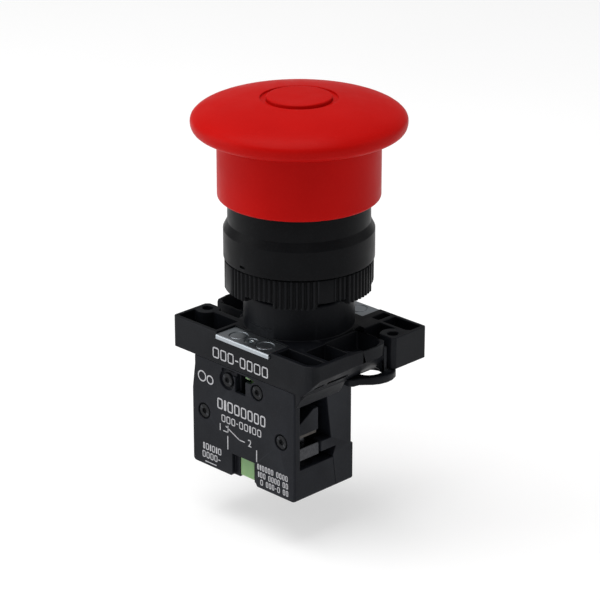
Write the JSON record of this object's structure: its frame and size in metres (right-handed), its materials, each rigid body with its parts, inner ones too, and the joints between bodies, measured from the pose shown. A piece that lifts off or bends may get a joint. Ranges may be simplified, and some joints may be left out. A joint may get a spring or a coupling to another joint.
{
  "type": "emergency stop button",
  "caption": "Panel-mounted push-pull emergency stop button: red mushroom head, black bezel, ribbed ring nut, lugged mounting base and a contact block with green plunger.",
  "frame": {"origin": "centre of the panel hole, in the plane of the bezel's underside, which lies on the panel's front face", "axes": "+Z along the push axis from the panel towards the head; X the long way of the mounting base; -Y the side with the contact block's printed front"},
  "size_m": [0.04, 0.04, 0.0726],
  "materials": {
    "red_plastic": "satin moulded ABS, fine texture",
    "black_plastic": "fine spark-eroded polyamide",
    "black_case": "satin polyamide with white printed marks",
    "green_plastic": "pale green acetal",
    "zinc_steel": "bright zinc plate",
    "steel": "zinc-plated screw steel",
    "spring_steel": "drawn spring wire",
    "copper_alloy": "stamped copper alloy with silver tips",
    "rubber": "nitrile, matt"
  },
  "bodies": {
    "housing": {"bezel_body": "black_plastic", "lip_seal": "rubber", "detent_spring": "spring_steel", "panel_gasket": "rubber", "mounting_base": "black_plastic", "clamp_plate_front": "zinc_steel", "clamp_plate_rear": "zinc_steel", "clamp_screws": "steel", "block_case": "black_case", "block_cover": "black_case", "cover_pins": "black_case", "fixed_contact_left": "copper_alloy", "fixed_contact_right": "copper_alloy", "terminal_clamp_left": "zinc_steel", "terminal_clamp_right": "zinc_steel", "head_spring": "spring_steel", "plunger_spring": "spring_steel"},
    "actuator": {"actuator_stem": "black_plastic", "mushroom_head": "red_plastic", "head_disc": "red_plastic", "head_screw": "steel", "stem_clip": "spring_steel"},
    "plunger": {"contact_plunger": "green_plastic", "bridge_spring": "spring_steel"},
    "bridge": {"contact_bridge": "copper_alloy"},
    "nut_washer": {"keyed_washer": "zinc_steel"},
    "ring_nut": {"ring_nut": "black_plastic"},
    "latch": {"release_latch": "black_plastic"},
    "terminal_screw_left": {"terminal_screw_left": "zinc_steel"},
    "terminal_screw_right": {"terminal_screw_right": "zinc_steel"}
  },
  "joints": [
    {"name": "button_press", "type": "slide", "parent": "housing", "child": "actuator", "axis": [0, 0, -1], "range_m": [0, 0.004], "deforming": ["head_spring"]},
    {"name": "plunger_press", "type": "slide", "parent": "housing", "child": "plunger", "axis": [0, 0, -1], "range_m": [0, 0.004], "deforming": ["plunger_spring"]},
    {"name": "bridge_press", "type": "slide", "parent": "housing", "child": "bridge", "axis": [0, 0, -1], "range_m": [0, 0.0032], "deforming": ["bridge_spring"]},
    {"name": "washer_travel", "type": "slide", "parent": "housing", "child": "nut_washer", "axis": [0, 0, -1], "range_m": [0, 0.004]},
    {"name": "nut_turn", "type": "hinge", "parent": "nut_washer", "child": "ring_nut", "pos_m": [0, 0, 0], "axis": [0, 0, -1], "range_deg": [0, 960]},
    {"name": "latch_pull", "type": "slide", "parent": "housing", "child": "latch", "axis": [1, 0, 0], "range_m": [0, 0.002], "stiffness_N_per_m": 150},
    {"name": "terminal_screw_left_turn", "type": "hinge", "parent": "housing", "child": "terminal_screw_left", "pos_m": [-0.0104, -0.0108, -0.0321], "axis": [0, 0, -1], "continuous": true},
    {"name": "terminal_screw_right_turn", "type": "hinge", "parent": "housing", "child": "terminal_screw_right", "pos_m": [0.0104, -0.0108, -0.0321], "axis": [0, 0, -1], "continuous": true}
  ],
  "couplings": [
    {"joint": "plunger_press", "follows": "button_press", "ratio": 1},
    {"joint": "bridge_press", "follows": "button_press", "ratio": 0.8},
    {"joint": "washer_travel", "follows": "nut_turn", "m_per_rad": 0.00023873}
  ]
}
